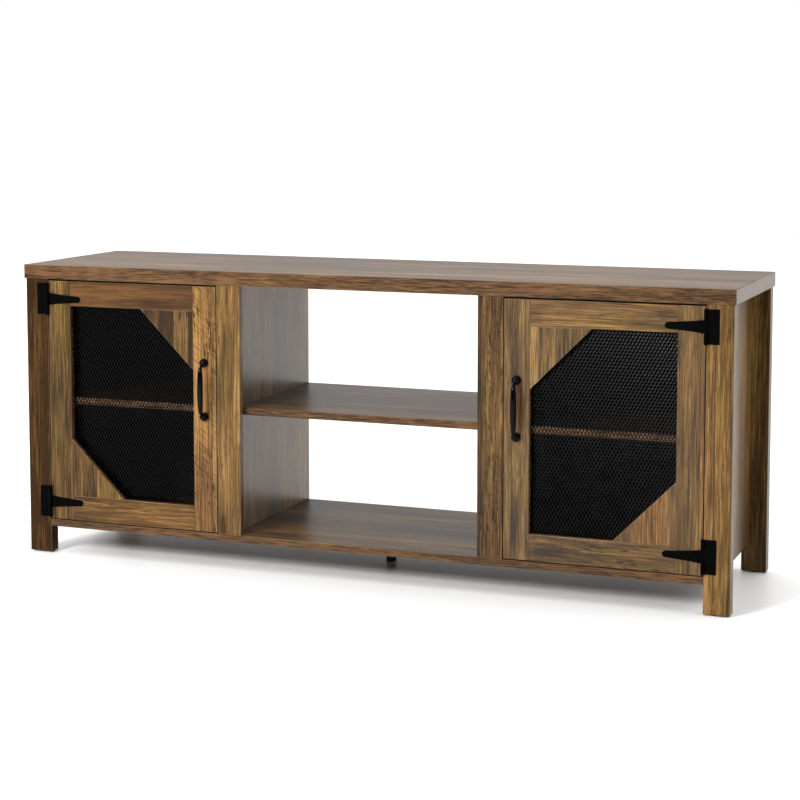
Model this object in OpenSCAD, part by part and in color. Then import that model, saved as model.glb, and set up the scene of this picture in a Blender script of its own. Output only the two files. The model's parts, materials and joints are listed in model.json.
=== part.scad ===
// Low TV stand: two mesh-fronted door cabinets either side of an open bay with one shelf.
// Millimetres, +Z up, front towards -Y. The origin is on the floor, under the middle of the outline.

/* [Overall] */
// Width of the top panel, left to right
top_w = 1500; // [1250:1:1800]
// Depth of the top panel, front to back
top_d = 394; // [330:1:475]
// Height from the floor to the upper face of the top panel
height = 610; // [500:1:735]

/* [Boards] */
// Thickness of the top panel
top_t = 29; // [22:0.5:40]
// Thickness of the side, bottom, divider, shelf and door boards
board_t = 15; // [12.5:0.5:18]
// Thickness of the thin back panels
back_t = 3; // [2:0.5:6]
// Height of the bottom panel's underside above the floor
leg_h = 57; // [45:1:90]
// How far the top panel overhangs the post faces at the front
lip_front = 2.5; // [0:0.5:8]
// How far the top panel overhangs the posts at the back
lip_back = 3; // [0:0.5:10]
// How far the top panel overhangs the posts at each side
lip_side = 3.5; // [0:0.5:15]

/* [Posts] */
// Width of a corner post, left to right
post_w = 51; // [40:0.5:62]
// Depth of a corner post, front to back
post_d = 26.5; // [22:0.5:32]

/* [Bay and shelves] */
// Clear width of the open bay between the two face stiles
bay_w = 505; // [400:1:610]
// Width of the face stile in front of each divider
stile_w = 51.5; // [40:0.5:62]
// Height of the shelves' undersides above the upper face of the bottom panel
shelf_rise = 245.5; // [200:0.5:295]
// How far the shelves' front edges sit behind the post faces
shelf_setback = 18; // [17:0.5:60]
// Vertical pitch of the shelf pin holes
pin_pitch = 32; // [25:1:40]
// Clearance at each end of a loose cabinet shelf
shelf_gap = 0.8; // [0.3:0.1:2]

/* [Doors] */
// Gap between a door and the post or stile beside it
door_gap = 1.8; // [1.4:0.1:3]
// Gap above a door
door_gap_top = 3.5; // [2:0.5:6]
// Gap below a door
door_gap_bottom = 2; // [1:0.5:5]
// Width of the stiles and rails of a door frame
frame_w = 51.5; // [45:0.5:62]
// Length of the two short edges of a corner gusset
gusset_leg = 121; // [80:1:145]
// How far the mesh reaches behind the door frame on every side
mesh_lap = 7; // [4:0.5:12]
// Depth of the recess for the mesh at the back of a door
recess_d = 5; // [4:0.5:6]
// Thickness of the mesh
mesh_t = 1.2; // [0.8:0.1:1.5]
// Clearance round the mesh in its recess
mesh_gap = 1; // [0.5:0.5:2]
// Width of the strips that hold the mesh
strip_w = 7; // [5:0.5:10]
// Thickness of the strips that hold the mesh
strip_t = 3; // [1.5:0.5:3]

/* [Hinges] */
// Height of the hinge plate on a post
plate_h = 65; // [50:1:80]
// Width of the hinge plate on a post
plate_w = 24; // [18:0.5:30]
// Length of a strap from the gap to its tip
strap_l = 76; // [60:1:92]
// Height of a strap at its root
strap_root = 24; // [18:0.5:28]
// Height of a strap at its round tip
strap_tip = 12; // [9:0.5:15]
// Thickness of the hinge metal
leaf_t = 2; // [1.5:0.1:2.5]
// Outer diameter of a hinge barrel
barrel_d = 7; // [6:0.1:8]
// Diameter of a hinge pin
pin_d = 3.2; // [2.5:0.1:4]
// Radial clearance of a pin in the strap that turns on it
pin_gap = 0.05; // [0.02:0.01:0.1]
// Clearance between moving hinge metal and what it passes
hinge_gap = 0.3; // [0.2:0.05:0.6]
// Distance of the upper hinge's middle below the upper edge of a door
hinge_drop = 38; // [34:1:90]
// Distance of the lower hinge's middle above the lower edge of a door
hinge_lift = 36.5; // [34:0.5:90]

/* [Handles] */
// Distance between the two feet of a handle
handle_span = 110; // [80:1:140]
// Diameter of a handle's feet
foot_d = 18; // [14:0.5:20]
// How far a handle stands in front of the door in all
handle_reach = 27; // [25.5:0.5:36]
// Diameter of the grip at its middle
grip_d = 12; // [9:0.5:14]
// Diameter of the grip at its ends
grip_end_d = 8.4; // [6:0.1:9]
// Length of the grip between its necks
grip_l = 80; // [60:1:90]
// Height of a handle's middle above the lower edge of a door
handle_lift = 293; // [200:1:330]

/* [Fittings] */
// Diameter of a shelf pin
shelf_pin_d = 5; // [4:0.5:6]
// Diameter of a dowel
dowel_d = 8; // [6:0.5:9]
// Length of a dowel
dowel_l = 30; // [24:1:34]
// Diameter of a cam lock
cam_d = 15; // [12:0.5:16]
// Distance from a board's edge to the middle of its cam lock
cam_reach = 24; // [20:0.5:30]
// Diameter of a cable port
port_d = 50; // [35:1:60]
// Distance of a cable port's middle below the underside of the shelves
port_drop = 33; // [31:1:60]
// Thickness of the glides under the posts
glide_t = 2; // [1:0.5:4]
// Diameter of the centre leg's levelling foot
centre_leg_d = 21; // [16:0.5:30]
// Diameter of the threaded stud on which the levelling foot turns
stud_d = 8; // [6:0.5:10]
// Room above the levelling foot, which it can be screwed up into
foot_travel = 6; // [5.5:0.5:12]

/* [Hidden] */
$fn = 48;

// How far a cut runs past the face that it opens
past = 1;

// Planes of the carcass
face_y = (handle_reach - (top_d - lip_front)) / 2;
back_y = face_y - lip_front + top_d - lip_back;
panel_back_y = back_y - back_t;
post_x = top_w / 2 - lip_side;
side_x = post_x - post_w;
under_top = height - top_t;
floor_z = leg_h + board_t;
stile_out_x = bay_w / 2 + stile_w;
divider_x = bay_w / 2 + (stile_w - board_t) / 2;
divider_front_y = face_y + board_t;
side_front_y = face_y + post_d;
side_back_y = back_y - post_d;
shelf_y = face_y + shelf_setback;
shelf_z = floor_z + shelf_rise;
side_mid_x = side_x + board_t / 2;
divider_mid_x = divider_x + board_t / 2;
cabinet_mid_x = (divider_x + board_t + side_x) / 2;
mid_y = (face_y + panel_back_y) / 2;

// Door planes
door_in_x = stile_out_x + door_gap;
door_out_x = side_x - door_gap;
door_z = floor_z + door_gap_bottom;
door_top_z = under_top - door_gap_top;
open_in_x = door_in_x + frame_w;
open_out_x = door_out_x - frame_w;
open_z = door_z + frame_w;
open_top_z = door_top_z - frame_w;
door_back_y = face_y + board_t;
mesh_y = door_back_y - recess_d;
strip_gap = 0.2;

// Hinge axis, in the middle of the gap and in front of the boards
hinge_x = side_x - door_gap / 2;
hinge_y = face_y - barrel_d / 2 - hinge_gap;
hinge_zs = [door_z + hinge_lift, door_top_z - hinge_drop];
pin_head_d = pin_d + 2;
pin_head_t = 1.2;
strap_land = 8;
strap_shoulder = 20;
strap_slope = 2;
plate_far_x = side_x + plate_w;

// Handle feet
handle_x = door_in_x + frame_w / 2;
handle_mid_z = door_z + handle_lift;
foot_zs = [handle_mid_z - handle_span / 2, handle_mid_z + handle_span / 2];
foot_base_t = 3;
foot_ball_d = foot_d - 1.5;
foot_ball_out = 5;
grip_out = handle_reach - grip_d / 2;
neck_d = 6.4;
neck_short = 4;
grip_fullness = 0.5;
grip_steps = 16;
bolt_d = 4;
bolt_gap = 0.5;
bolt_in = 8;
bolt_head_d = 8;
bolt_head_t = 2.4;

// Screws for hinges, catches, strike plates and the centre leg
screw_d = 3.4;
screw_l = 13;
screw_head_d = 6.6;
screw_head_t = 1;
drive_l = 3.6;
drive_w = 0.8;
drive_deep = 0.6;
screw_edge = 8;
strap_screw_steps = [[13, 5], [27, -5], [strap_l - screw_edge, 0]];
plate_screw_zs = [-plate_h / 2 + screw_edge, 0, plate_h / 2 - screw_edge];

// Cam joints and dowels
cam_skin = 3;
cam_t = board_t - cam_skin;
cam_gap = 0.2;
cam_bolt_d = 5;
cam_bolt_in = 10;
cam_bolt_head_d = 7;
cam_bolt_head_t = 3;
cam_bolt_hole_d = 8;
cam_mouth = 1;
cam_slot_l = 10;
cam_slot_w = 1.2;
cam_slot_deep = 1.5;
cam_inset = 62;
cam_ys = [side_front_y + cam_inset, side_back_y - cam_inset];
shelf_cam_ys = [shelf_y + cam_inset, panel_back_y - cam_inset];
panel_h = under_top - leg_h;
post_cam_zs = [leg_h + 0.28 * panel_h, leg_h + 0.72 * panel_h];
post_dowel_zs = [leg_h + 0.12 * panel_h, leg_h + 0.38 * panel_h, leg_h + 0.86 * panel_h];
stile_dowel_zs = [floor_z + 0.12 * panel_h, floor_z + 0.62 * panel_h, floor_z + 0.86 * panel_h];
dowel_in = 10;

// Long screws through the bottom panel into the dividers
long_screw_d = 5;
long_screw_l = 50;
long_head_d = 10;
long_head_t = 4;
hex_d = 4.6;
hex_deep = 2.5;

// Shelf pins and the rows of holes for them
pin_in = 8;
pin_out = 8;
pin_from_edge = 40;
pin_z = shelf_z - shelf_pin_d / 2;
pin_ys = [shelf_y + pin_from_edge, panel_back_y - pin_from_edge];

// Magnetic catch behind each latch stile and the plate it holds
catch_l = 34;
catch_d = 14;
catch_h = 45;
catch_drop = 12;
catch_z = shelf_z - catch_drop - catch_h;
lug_t = 2;
lug_l = 16;
strike_t = 1;
strike_w = 16;
strike_h = 40;
strike_gap = 0.4;
strike_screw_skin = 4;
strike_screw_l = board_t - strike_screw_skin;
catch_y = door_back_y + strike_t + strike_gap;
strike_edge = 3;
strike_x = door_in_x + strike_w / 2 + strike_edge;

// Back panel nails
nail_d = 1.6;
nail_l = 18;
nail_head_d = 4.4;
nail_head_t = 0.8;
back_lap_inset = 1.5;
board_nail_ts = [0.15, 0.5, 0.85];
bottom_nail_ts = [0.2, 0.5, 0.8];
back_edge_z = leg_h + back_lap_inset;
back_edge_x = divider_x + back_lap_inset;
back_gap = 0.5;

// Glides and centre leg
glide_d = 20;
glide_pin_d = 2.5;
glide_pin_l = 12;
flange_d = 46;
flange_t = 4;
foot_floor_t = 9;
foot_h = leg_h - flange_t - foot_travel;
stud_end_gap = 1;
stud_l = foot_h - foot_floor_t - stud_end_gap;
stud_gap = 0.05;
flange_screw_r = 16;

oak = "#8a6238";
oak_edge = "#7a4f2c";
iron = "#1a1a1b";
zinc = "#b8bcc0";
beech = "#d8b98a";
hardboard = "#3a2a1e";
plastic = "#202022";

// ---- Placing ----

// The right-hand side is drawn; side -1 mirrors it to the left
module on_side(side) {
    if (side > 0) children();
    else mirror([1, 0, 0]) children();
}

module both_sides() {
    for (side = [-1, 1]) on_side(side) children();
}

// A box from its lowest corner to its highest
module box(low, high) {
    translate(low) cube(high - low);
}

// A rod along +Z with both ends at stated heights
module rod(d, z0, z1) {
    translate([0, 0, z0]) cylinder(d = d, h = z1 - z0);
}

// Cam joints of the right-hand half: +Z runs along the bolt into the far board, +X out of the cam's face
module at_side_top_cams() {
    for (y = cam_ys) translate([side_mid_x, y, under_top]) rotate([0, 0, 180]) children();
}

module at_divider_top_cams() {
    for (y = cam_ys) translate([divider_mid_x, y, under_top]) children();
}

module at_bottom_cams() {
    for (y = cam_ys) translate([side_x, y, leg_h + board_t / 2]) rotate([0, 90, 0]) children();
}

module at_shelf_cams() {
    for (y = shelf_cam_ys) translate([divider_x, y, shelf_z + board_t / 2]) rotate([0, 90, 0]) children();
}

module at_front_post_cams() {
    for (z = post_cam_zs)
        translate([side_mid_x, side_front_y, z]) rotate([90, 0, 0]) rotate([0, 0, 180]) children();
}

module at_rear_post_cams() {
    for (z = post_cam_zs)
        translate([side_mid_x, side_back_y, z]) rotate([-90, 0, 0]) rotate([0, 0, 180]) children();
}

module at_all_cams() {
    both_sides() {
        at_side_top_cams() children();
        at_divider_top_cams() children();
        at_bottom_cams() children();
        at_shelf_cams() children();
        at_front_post_cams() children();
        at_rear_post_cams() children();
    }
}

// Dowels of the right-hand half: +Z points into the board that holds the short end
module at_front_post_dowels() {
    for (z = post_dowel_zs) translate([side_mid_x, side_front_y, z]) rotate([90, 0, 0]) children();
}

module at_rear_post_dowels() {
    for (z = post_dowel_zs) translate([side_mid_x, side_back_y, z]) rotate([-90, 0, 0]) children();
}

module at_front_post_top() {
    translate([side_x + post_w / 2, face_y + post_d / 2, under_top]) children();
}

module at_rear_post_top() {
    translate([side_x + post_w / 2, back_y - post_d / 2, under_top]) children();
}

module at_stile_dowels() {
    for (z = stile_dowel_zs) translate([divider_mid_x, divider_front_y, z]) rotate([90, 0, 0]) children();
}

module at_long_screws() {
    for (y = cam_ys) translate([divider_mid_x, y, leg_h]) children();
}

module at_post_feet() {
    for (y = [face_y + post_d / 2, back_y - post_d / 2]) translate([side_x + post_w / 2, y, 0]) children();
}

// Screws of the right-hand half: +Z points out of the wood
module at_plate_screws() {
    for (z = hinge_zs, dz = plate_screw_zs)
        translate([(side_x + barrel_d / 2 + plate_far_x) / 2, face_y - leaf_t, z + dz])
            rotate([90, 0, 0]) children();
}

module at_strap_screws() {
    for (z = hinge_zs, step = strap_screw_steps)
        translate([side_x - door_gap - step[0], face_y - leaf_t, z + step[1]]) rotate([90, 0, 0]) children();
}

module at_catch_screws() {
    for (dz = [screw_edge, catch_h - screw_edge])
        translate([divider_x + board_t + lug_t, catch_y + catch_d + lug_l / 2, catch_z + dz])
            rotate([0, 90, 0]) children();
}

module at_strike_screw() {
    translate([strike_x, door_back_y + strike_t, catch_z + catch_h / 2]) rotate([-90, 0, 0]) children();
}

module at_leg_screws() {
    for (a = [45 : 90 : 315])
        rotate([0, 0, a]) translate([flange_screw_r, 0, 0]) rotate([180, 0, 0]) children();
}

module at_centre_leg() {
    translate([0, mid_y, leg_h]) children();
}

module at_handle_bolts() {
    for (z = foot_zs) translate([handle_x, face_y, z]) rotate([90, 0, 0]) children();
}

// Nails of the right-hand half: +Z points out of the back
module at_nails() {
    for (t = board_nail_ts)
        translate([divider_mid_x, back_y, floor_z + t * (under_top - floor_z)])
            rotate([-90, 0, 0]) children();
    for (t = bottom_nail_ts)
        translate([divider_x + t * (side_x - divider_x), back_y, leg_h + board_t / 2])
            rotate([-90, 0, 0]) children();
}

// ---- Fasteners and the holes for them ----

// A cam bolt: a thread in the far board, a neck, and a head inside the cam lock
module cam_bolt() {
    rod(cam_bolt_d, -cam_reach, cam_bolt_in);
    rod(cam_bolt_head_d, -cam_reach - cam_bolt_head_t / 2, -cam_reach + cam_bolt_head_t / 2);
}

module cam_bolt_thread_hole() {
    rod(cam_bolt_d, -past, cam_bolt_in);
}

// The edge hole for the bolt and the face hole for the lock
module cam_holes() {
    rod(cam_bolt_hole_d, -cam_reach, past);
    translate([board_t / 2 - cam_t, 0, -cam_reach]) rotate([0, 90, 0])
        cylinder(d = cam_d, h = cam_t + past);
}

module cam_lock() {
    difference() {
        translate([board_t / 2 - cam_t, 0, -cam_reach]) rotate([0, 90, 0])
            cylinder(d = cam_d - 2 * cam_gap, h = cam_t);
        rod(cam_bolt_hole_d, -cam_reach, past);
        rod(cam_bolt_hole_d, -cam_reach - cam_bolt_head_t / 2 - cam_mouth, -cam_reach + cam_mouth);
        for (a = [0, 90])
            translate([board_t / 2 - cam_slot_deep, 0, -cam_reach]) rotate([a, 0, 0])
                translate([0, -cam_slot_l / 2, -cam_slot_w / 2])
                    cube([cam_slot_deep + past, cam_slot_l, cam_slot_w]);
    }
}

module dowel() {
    rod(dowel_d, dowel_in - dowel_l, dowel_in);
}

module long_screw() {
    rod(long_screw_d, 0, long_screw_l);
    difference() {
        rod(long_head_d, 0, long_head_t);
        translate([0, 0, -past]) cylinder(d = hex_d, h = hex_deep + past, $fn = 6);
    }
}

module long_screw_holes() {
    rod(long_screw_d, -past, long_screw_l);
    rod(long_head_d, -past, long_head_t);
}

// The cross for the driver, cut into a head whose outer face is at z = 0
module drive_cross() {
    for (a = [0, 90])
        rotate([0, 0, a]) translate([-drive_l / 2, -drive_w / 2, -drive_deep])
            cube([drive_l, drive_w, drive_deep + past]);
}

// A wood screw whose head sits on the metal at z = 0
module wood_screw() {
    rod(screw_d, -screw_l, 0);
    difference() {
        rod(screw_head_d, 0, screw_head_t);
        translate([0, 0, screw_head_t]) drive_cross();
    }
}

module screw_hole() {
    rod(screw_d, -screw_l, past);
}

// A flat-headed screw, flush with the strike plate, whose outer face is at z = 0
module strike_screw() {
    rod(screw_d, -strike_screw_l, -strike_t);
    difference() {
        rod(screw_head_d, -strike_t, 0);
        drive_cross();
    }
}

module strike_screw_hole() {
    rod(screw_d, -strike_screw_l, past);
    rod(screw_head_d, -strike_t, past);
}

module nail() {
    rod(nail_d, -nail_l, 0);
    rod(nail_head_d, 0, nail_head_t);
}

module nail_hole() {
    rod(nail_d, -nail_l, past);
}

// ---- Carcass ----

module top_panel() {
    color(oak) difference() {
        box([-top_w / 2, face_y - lip_front, under_top], [top_w / 2, back_y + lip_back, height]);
        both_sides() {
            at_side_top_cams() cam_bolt_thread_hole();
            at_divider_top_cams() cam_bolt_thread_hole();
            at_front_post_top() dowel();
            at_rear_post_top() dowel();
        }
    }
}

module bottom_panel() {
    color(oak) difference() {
        box([-side_x, face_y, leg_h], [side_x, panel_back_y, floor_z]);
        both_sides() {
            at_bottom_cams() cam_holes();
            at_long_screws() long_screw_holes();
            at_nails() nail_hole();
        }
        at_centre_leg() translate([0, 0, -flange_t]) at_leg_screws() screw_hole();
    }
}

module side_panel(side) {
    color(oak) on_side(side) difference() {
        box([side_x, side_front_y, leg_h], [side_x + board_t, side_back_y, under_top]);
        at_side_top_cams() cam_holes();
        at_bottom_cams() cam_bolt_thread_hole();
        at_front_post_cams() cam_holes();
        at_rear_post_cams() cam_holes();
        at_front_post_dowels() dowel();
        at_rear_post_dowels() dowel();
        shelf_pin_holes(side_x, 1);
    }
}

module front_post(side) {
    color(oak) on_side(side) difference() {
        box([side_x, face_y, glide_t], [post_x, side_front_y, under_top]);
        at_front_post_cams() cam_bolt_thread_hole();
        at_front_post_dowels() dowel();
        at_front_post_top() dowel();
        at_plate_screws() screw_hole();
        at_post_feet() rod(glide_pin_d, 0, glide_t + glide_pin_l);
    }
}

module rear_post(side) {
    color(oak) on_side(side) difference() {
        box([side_x, side_back_y, glide_t], [post_x, back_y, under_top]);
        at_rear_post_cams() cam_bolt_thread_hole();
        at_rear_post_dowels() dowel();
        at_rear_post_top() dowel();
        at_post_feet() rod(glide_pin_d, 0, glide_t + glide_pin_l);
    }
}

module divider(side) {
    color(oak) on_side(side) difference() {
        box([divider_x, divider_front_y, floor_z], [divider_x + board_t, panel_back_y, under_top]);
        at_divider_top_cams() cam_holes();
        at_shelf_cams() cam_bolt_thread_hole();
        at_stile_dowels() dowel();
        at_long_screws() long_screw_holes();
        at_catch_screws() screw_hole();
        at_nails() nail_hole();
        shelf_pin_holes(divider_x + board_t, -1);
    }
}

module divider_stile(side) {
    color(oak) on_side(side) difference() {
        box([bay_w / 2, face_y, floor_z], [stile_out_x, divider_front_y, under_top]);
        at_stile_dowels() dowel();
    }
}

// Rows of pin holes in the board whose face is at x; inward is the way into the board
module shelf_pin_holes(x, inward) {
    for (y = pin_ys, step = [-1, 0, 1])
        translate([x, y, pin_z + step * pin_pitch]) rotate([0, 90 * inward, 0])
            rod(shelf_pin_d, -past, pin_in);
}

module centre_shelf() {
    color(oak) difference() {
        box([-divider_x, shelf_y, shelf_z], [divider_x, panel_back_y, shelf_z + board_t]);
        both_sides() at_shelf_cams() cam_holes();
    }
}

module cabinet_shelf(side) {
    color(oak) on_side(side)
        box([divider_x + board_t + shelf_gap, shelf_y, shelf_z],
            [side_x - shelf_gap, panel_back_y - back_gap, shelf_z + board_t]);
}

module shelf_pins() {
    color(zinc) both_sides() for (y = pin_ys) {
        translate([side_x, y, pin_z]) rotate([0, 90, 0]) rod(shelf_pin_d, -pin_out, pin_in);
        translate([divider_x + board_t, y, pin_z]) rotate([0, -90, 0]) rod(shelf_pin_d, -pin_out, pin_in);
    }
}

module back_panel(side) {
    color(hardboard) on_side(side) difference() {
        box([back_edge_x, panel_back_y, back_edge_z], [side_x, back_y, under_top]);
        translate([cabinet_mid_x, panel_back_y - past, shelf_z - port_drop]) rotate([-90, 0, 0])
            cylinder(d = port_d, h = back_t + 2 * past);
        at_nails() nail_hole();
    }
}

module back_panel_nails() {
    color(zinc) both_sides() at_nails() nail();
}

module cam_bolts() {
    color(zinc) at_all_cams() cam_bolt();
}

module cam_locks() {
    color(zinc) at_all_cams() cam_lock();
}

module dowels() {
    color(beech) both_sides() {
        at_front_post_dowels() dowel();
        at_rear_post_dowels() dowel();
        at_front_post_top() dowel();
        at_rear_post_top() dowel();
        at_stile_dowels() dowel();
    }
}

module long_screws() {
    color(zinc) both_sides() at_long_screws() long_screw();
}

module post_glides() {
    color(plastic) both_sides() at_post_feet() {
        rod(glide_d, 0, glide_t);
        rod(glide_pin_d, glide_t, glide_t + glide_pin_l);
    }
}

// A screwed flange under the bottom panel with a threaded stud
module centre_leg() {
    color(plastic) at_centre_leg() translate([0, 0, -flange_t]) difference() {
        union() {
            rod(flange_d, 0, flange_t);
            rod(stud_d, -stud_l, 0);
        }
        at_leg_screws() screw_hole();
    }
}

// The column that screws up and down the stud
module levelling_foot() {
    color(plastic) at_centre_leg() translate([0, 0, -leg_h]) difference() {
        rod(centre_leg_d, 0, foot_h);
        rod(stud_d + 2 * stud_gap, foot_floor_t, foot_h + past);
    }
}

module carcass_screws() {
    color(iron) {
        both_sides() {
            at_plate_screws() wood_screw();
            at_catch_screws() wood_screw();
        }
        at_centre_leg() translate([0, 0, -flange_t]) at_leg_screws() wood_screw();
    }
}

module catch(side) {
    color(plastic) on_side(side) difference() {
        union() {
            translate([divider_x + board_t, catch_y, catch_z]) cube([catch_l, catch_d, catch_h]);
            translate([divider_x + board_t, catch_y + catch_d - past, catch_z])
                cube([lug_t, lug_l + past, catch_h]);
        }
        at_catch_screws() screw_hole();
    }
}

// ---- Hinges ----

// Barrel segment round the hinge axis
module knuckle(z0, z1) {
    translate([hinge_x, hinge_y, 0]) rod(barrel_d, z0, z1);
}

module hinge_plates(side) {
    barrel_clear = barrel_d / 2 + hinge_gap;
    middle_h = strap_root / 2 + hinge_gap;
    color(iron) on_side(side) difference() {
        for (z = hinge_zs) difference() {
            union() {
                box([hinge_x, face_y - leaf_t, z - plate_h / 2], [plate_far_x, face_y, z + plate_h / 2]);
                knuckle(z - plate_h / 2, z + plate_h / 2);
            }
            box([hinge_x - barrel_clear, hinge_y - barrel_clear, z - middle_h],
                [hinge_x + barrel_clear, face_y + past, z + middle_h]);
            translate([hinge_x, hinge_y, 0]) rod(pin_d, z - plate_h, z + plate_h);
        }
        at_plate_screws() screw_hole();
    }
}

module hinge_pins() {
    color(iron) both_sides() for (z = hinge_zs) translate([hinge_x, hinge_y, z]) {
        rod(pin_d, -plate_h / 2, plate_h / 2);
        rod(pin_head_d, -plate_h / 2 - pin_head_t, -plate_h / 2);
        rod(pin_head_d, plate_h / 2, plate_h / 2 + pin_head_t);
    }
}

// Strap outline from the gap to a round tip, drawn flat: +X away from the gap, +Y up
module strap_outline() {
    half_root = strap_root / 2;
    half_tip = strap_tip / 2;
    polygon([
        [-door_gap / 2, -half_root],
        [strap_land, -half_root],
        [strap_shoulder, -half_root + strap_slope],
        [strap_l - half_tip, -half_tip],
        [strap_l - half_tip, half_tip],
        [strap_shoulder, half_root - strap_slope],
        [strap_land, half_root],
        [-door_gap / 2, half_root]
    ]);
    translate([strap_l - half_tip, 0]) circle(r = half_tip);
}

module hinge_straps(side) {
    color(iron) on_side(side) difference() {
        for (z = hinge_zs) difference() {
            union() {
                translate([side_x - door_gap, face_y, z]) rotate([90, 0, 0]) mirror([1, 0, 0])
                    linear_extrude(leaf_t) strap_outline();
                knuckle(z - strap_root / 2, z + strap_root / 2);
            }
            translate([hinge_x, hinge_y, 0]) rod(pin_d + 2 * pin_gap, z - strap_root, z + strap_root);
        }
        at_strap_screws() screw_hole();
    }
}

// ---- Doors ----

// The recess behind the frame in which the mesh and its strips lie
module mesh_recess() {
    lap = mesh_lap + mesh_gap;
    box([open_in_x - lap, mesh_y, open_z - lap], [open_out_x + lap, door_back_y + past, open_top_z + lap]);
}

module door_hinge_stile(side) {
    color(oak) on_side(side) difference() {
        box([open_out_x, face_y, door_z], [door_out_x, door_back_y, door_top_z]);
        mesh_recess();
        at_strap_screws() screw_hole();
    }
}

module door_latch_stile(side) {
    color(oak) on_side(side) difference() {
        box([door_in_x, face_y, door_z], [open_in_x, door_back_y, door_top_z]);
        mesh_recess();
        at_handle_bolts() rod(bolt_d + bolt_gap, -board_t - past, past);
        at_strike_screw() strike_screw_hole();
    }
}

module door_rail(side, z0, z1) {
    color(oak) on_side(side) difference() {
        box([open_in_x, face_y, z0], [open_out_x, door_back_y, z1]);
        mesh_recess();
        at_strap_screws() screw_hole();
    }
}

// Triangular board in one corner of the opening; ways point from the corner along its short edges
module gusset(side, corner_x, corner_z, way_x, way_z) {
    color(oak) on_side(side) translate([corner_x, mesh_y, corner_z]) rotate([90, 0, 0])
        linear_extrude(board_t - recess_d)
            polygon([[0, 0], [way_x * gusset_leg, 0], [0, way_z * gusset_leg]]);
}

module door_upper_gusset(side) {
    gusset(side, open_in_x, open_top_z, 1, -1);
}

module door_lower_gusset(side) {
    gusset(side, open_out_x, open_z, -1, 1);
}

module door_mesh(side) {
    color(iron) on_side(side)
        box([open_in_x - mesh_lap, mesh_y, open_z - mesh_lap],
            [open_out_x + mesh_lap, mesh_y + mesh_t, open_top_z + mesh_lap]);
}

// Four strips that press the mesh's edges against the frame
module door_mesh_strips(side) {
    y0 = mesh_y + mesh_t;
    x0 = open_in_x - mesh_lap;
    x1 = open_out_x + mesh_lap;
    z0 = open_z - mesh_lap;
    z1 = open_top_z + mesh_lap;
    color(oak_edge) on_side(side) {
        box([x0, y0, z0], [x0 + strip_w, y0 + strip_t, z1]);
        box([x1 - strip_w, y0, z0], [x1, y0 + strip_t, z1]);
        for (z = [z0, z1 - strip_w])
            box([x0 + strip_w + strip_gap, y0, z], [x1 - strip_w - strip_gap, y0 + strip_t, z + strip_w]);
    }
}

module door_screws(side) {
    color(iron) on_side(side) {
        at_strap_screws() wood_screw();
        at_strike_screw() strike_screw();
    }
}

module door_strike_plate(side) {
    color(zinc) on_side(side) difference() {
        translate([strike_x - strike_w / 2, door_back_y, catch_z + (catch_h - strike_h) / 2])
            cube([strike_w, strike_t, strike_h]);
        at_strike_screw() strike_screw_hole();
    }
}

// Foot of a handle: a base ring and a ball sunk into it; +Z out of the door
module handle_foot() {
    rod(foot_d, 0, foot_base_t);
    intersection() {
        translate([0, 0, foot_ball_out]) sphere(d = foot_ball_d);
        rod(foot_d, 0, handle_reach);
    }
}

// Grip: a spindle along +Z, full in the middle and rounded at its ends
module grip() {
    half = grip_l / 2;
    radius = function(t) grip_end_d / 2 + (grip_d - grip_end_d) / 2 * pow(cos(90 * t), grip_fullness);
    rotate_extrude() polygon(concat(
        [[0, -half]],
        [for (i = [-grip_steps : grip_steps]) [radius(i / grip_steps), half * i / grip_steps]],
        [[0, half]]
    ));
    for (z = [-half, half]) translate([0, 0, z]) sphere(d = grip_end_d);
}

// Neck: runs from one end of the grip back into the foot on that side; side is 1 or -1
module grip_neck(side) {
    rise = (handle_span - grip_l) / 2 - neck_short;
    fall = grip_out - foot_ball_out;
    translate([handle_x, face_y - grip_out, handle_mid_z + side * grip_l / 2])
        rotate([90 - side * (90 + atan2(fall, rise)), 0, 0]) rod(neck_d, 0, norm([rise, fall]));
}

module door_handle(side) {
    color(iron) on_side(side) difference() {
        union() {
            at_handle_bolts() handle_foot();
            translate([handle_x, face_y - grip_out, handle_mid_z]) grip();
            for (end = [-1, 1]) grip_neck(end);
        }
        at_handle_bolts() rod(bolt_d, -past, bolt_in);
    }
}

module door_handle_bolts(side) {
    color(zinc) on_side(side) at_handle_bolts() {
        rod(bolt_d, -board_t, bolt_in);
        rod(bolt_head_d, -board_t - bolt_head_t, -board_t);
    }
}

top_panel();
bottom_panel();
side_panel(-1);  // left_side_panel
side_panel(1);  // right_side_panel
front_post(-1);  // front_left_post
front_post(1);  // front_right_post
rear_post(-1);  // rear_left_post
rear_post(1);  // rear_right_post
divider(-1);  // left_divider
divider(1);  // right_divider
divider_stile(-1);  // left_divider_stile
divider_stile(1);  // right_divider_stile
centre_shelf();
cabinet_shelf(-1);  // left_cabinet_shelf
cabinet_shelf(1);  // right_cabinet_shelf
back_panel(-1);  // left_back_panel
back_panel(1);  // right_back_panel
back_panel_nails();
centre_leg();
levelling_foot();
post_glides();
cam_bolts();
cam_locks();
dowels();
long_screws();
shelf_pins();
hinge_plates(-1);  // left_hinge_plates
hinge_plates(1);  // right_hinge_plates
hinge_pins();
carcass_screws();
catch(-1);  // left_catch
catch(1);  // right_catch
door_hinge_stile(-1);  // left_door_hinge_stile
door_hinge_stile(1);  // right_door_hinge_stile
door_latch_stile(-1);  // left_door_latch_stile
door_latch_stile(1);  // right_door_latch_stile
door_rail(-1, open_top_z, door_top_z);  // left_door_top_rail
door_rail(1, open_top_z, door_top_z);  // right_door_top_rail
door_rail(-1, door_z, open_z);  // left_door_bottom_rail
door_rail(1, door_z, open_z);  // right_door_bottom_rail
door_upper_gusset(-1);  // left_door_upper_gusset
door_upper_gusset(1);  // right_door_upper_gusset
door_lower_gusset(-1);  // left_door_lower_gusset
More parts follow.
